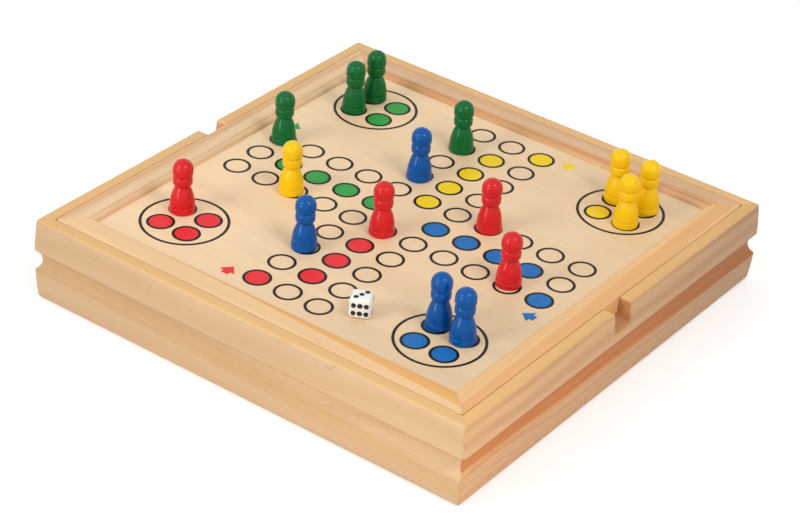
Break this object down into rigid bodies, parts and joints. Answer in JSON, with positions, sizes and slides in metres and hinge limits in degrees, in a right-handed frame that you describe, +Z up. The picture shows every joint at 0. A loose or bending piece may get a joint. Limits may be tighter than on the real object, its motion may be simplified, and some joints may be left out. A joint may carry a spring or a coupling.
{
  "type": "ludo board box",
  "caption": "Square pine box with a cove round its walls, a framed ludo board that lifts out as its lid, turned pawns and a die.",
  "frame": {"origin": "centre of the box's base, on the surface that it stands on", "axes": "+Z up, out of the board; X through the two walls with finger notches, with the houses red, blue, yellow and green at (-,-), (+,-), (+,+) and (-,+)"},
  "size_m": [0.29, 0.29, 0.0791],
  "materials": {
    "wall_pine": "clear matt lacquer over pine",
    "rail_pine": "clear matt lacquer over pine",
    "panel_ply": "sanded plywood",
    "board_ply": "clear matt lacquer over pale plywood",
    "ink_black": "printed ink",
    "ink_red": "printed ink",
    "ink_blue": "printed ink",
    "ink_yellow": "printed ink",
    "ink_green": "printed ink",
    "lacquer_red": "gloss lacquer over turned wood",
    "lacquer_blue": "gloss lacquer over turned wood",
    "lacquer_yellow": "gloss lacquer over turned wood",
    "lacquer_green": "gloss lacquer over turned wood",
    "die_white": "polished",
    "pip_black": "paint"
  },
  "bodies": {
    "box": {"wall_left": "wall_pine", "wall_right": "wall_pine", "wall_front": "wall_pine", "wall_back": "wall_pine", "bottom_panel": "panel_ply"},
    "lid": {"lid_rail_left": "rail_pine", "lid_rail_right": "rail_pine", "lid_rail_front": "rail_pine", "lid_rail_back": "rail_pine", "game_board": "board_ply", "print_outlines": "ink_black", "print_red": "ink_red", "print_blue": "ink_blue", "print_yellow": "ink_yellow", "print_green": "ink_green"},
    "pawn_red_1": {"pawn_red_1": "lacquer_red"},
    "pawn_red_2": {"pawn_red_2": "lacquer_red"},
    "pawn_red_3": {"pawn_red_3": "lacquer_red"},
    "pawn_red_4": {"pawn_red_4": "lacquer_red"},
    "pawn_blue_1": {"pawn_blue_1": "lacquer_blue"},
    "pawn_blue_2": {"pawn_blue_2": "lacquer_blue"},
    "pawn_blue_3": {"pawn_blue_3": "lacquer_blue"},
    "pawn_blue_4": {"pawn_blue_4": "lacquer_blue"},
    "pawn_yellow_1": {"pawn_yellow_1": "lacquer_yellow"},
    "pawn_yellow_2": {"pawn_yellow_2": "lacquer_yellow"},
    "pawn_yellow_3": {"pawn_yellow_3": "lacquer_yellow"},
    "pawn_yellow_4": {"pawn_yellow_4": "lacquer_yellow"},
    "pawn_green_1": {"pawn_green_1": "lacquer_green"},
    "pawn_green_2": {"pawn_green_2": "lacquer_green"},
    "pawn_green_3": {"pawn_green_3": "lacquer_green"},
    "pawn_green_4": {"pawn_green_4": "lacquer_green"},
    "die": {"die_body": "die_white", "die_pips": "pip_black"}
  },
  "joints": [
    {"name": "lid_lift", "type": "slide", "parent": "box", "child": "lid", "axis": [0, 0, 1], "range_m": [0, 0.1]},
    {"name": "pawn_red_1_lift", "type": "slide", "parent": "lid", "child": "pawn_red_1", "axis": [0, 0, 1], "range_m": [0, 0.06]},
    {"name": "pawn_red_2_lift", "type": "slide", "parent": "lid", "child": "pawn_red_2", "axis": [0, 0, 1], "range_m": [0, 0.06]},
    {"name": "pawn_red_3_lift", "type": "slide", "parent": "lid", "child": "pawn_red_3", "axis": [0, 0, 1], "range_m": [0, 0.06]},
    {"name": "pawn_red_4_lift", "type": "slide", "parent": "lid", "child": "pawn_red_4", "axis": [0, 0, 1], "range_m": [0, 0.06]},
    {"name": "pawn_blue_1_lift", "type": "slide", "parent": "lid", "child": "pawn_blue_1", "axis": [0, 0, 1], "range_m": [0, 0.06]},
    {"name": "pawn_blue_2_lift", "type": "slide", "parent": "lid", "child": "pawn_blue_2", "axis": [0, 0, 1], "range_m": [0, 0.06]},
    {"name": "pawn_blue_3_lift", "type": "slide", "parent": "lid", "child": "pawn_blue_3", "axis": [0, 0, 1], "range_m": [0, 0.06]},
    {"name": "pawn_blue_4_lift", "type": "slide", "parent": "lid", "child": "pawn_blue_4", "axis": [0, 0, 1], "range_m": [0, 0.06]},
    {"name": "pawn_yellow_1_lift", "type": "slide", "parent": "lid", "child": "pawn_yellow_1", "axis": [0, 0, 1], "range_m": [0, 0.06]},
    {"name": "pawn_yellow_2_lift", "type": "slide", "parent": "lid", "child": "pawn_yellow_2", "axis": [0, 0, 1], "range_m": [0, 0.06]},
    {"name": "pawn_yellow_3_lift", "type": "slide", "parent": "lid", "child": "pawn_yellow_3", "axis": [0, 0, 1], "range_m": [0, 0.06]},
    {"name": "pawn_yellow_4_lift", "type": "slide", "parent": "lid", "child": "pawn_yellow_4", "axis": [0, 0, 1], "range_m": [0, 0.06]},
    {"name": "pawn_green_1_lift", "type": "slide", "parent": "lid", "child": "pawn_green_1", "axis": [0, 0, 1], "range_m": [0, 0.06]},
    {"name": "pawn_green_2_lift", "type": "slide", "parent": "lid", "child": "pawn_green_2", "axis": [0, 0, 1], "range_m": [0, 0.06]},
    {"name": "pawn_green_3_lift", "type": "slide", "parent": "lid", "child": "pawn_green_3", "axis": [0, 0, 1], "range_m": [0, 0.06]},
    {"name": "pawn_green_4_lift", "type": "slide", "parent": "lid", "child": "pawn_green_4", "axis": [0, 0, 1], "range_m": [0, 0.06]},
    {"name": "die_lift", "type": "slide", "parent": "lid", "child": "die", "axis": [0, 0, 1], "range_m": [0, 0.06]}
  ]
}
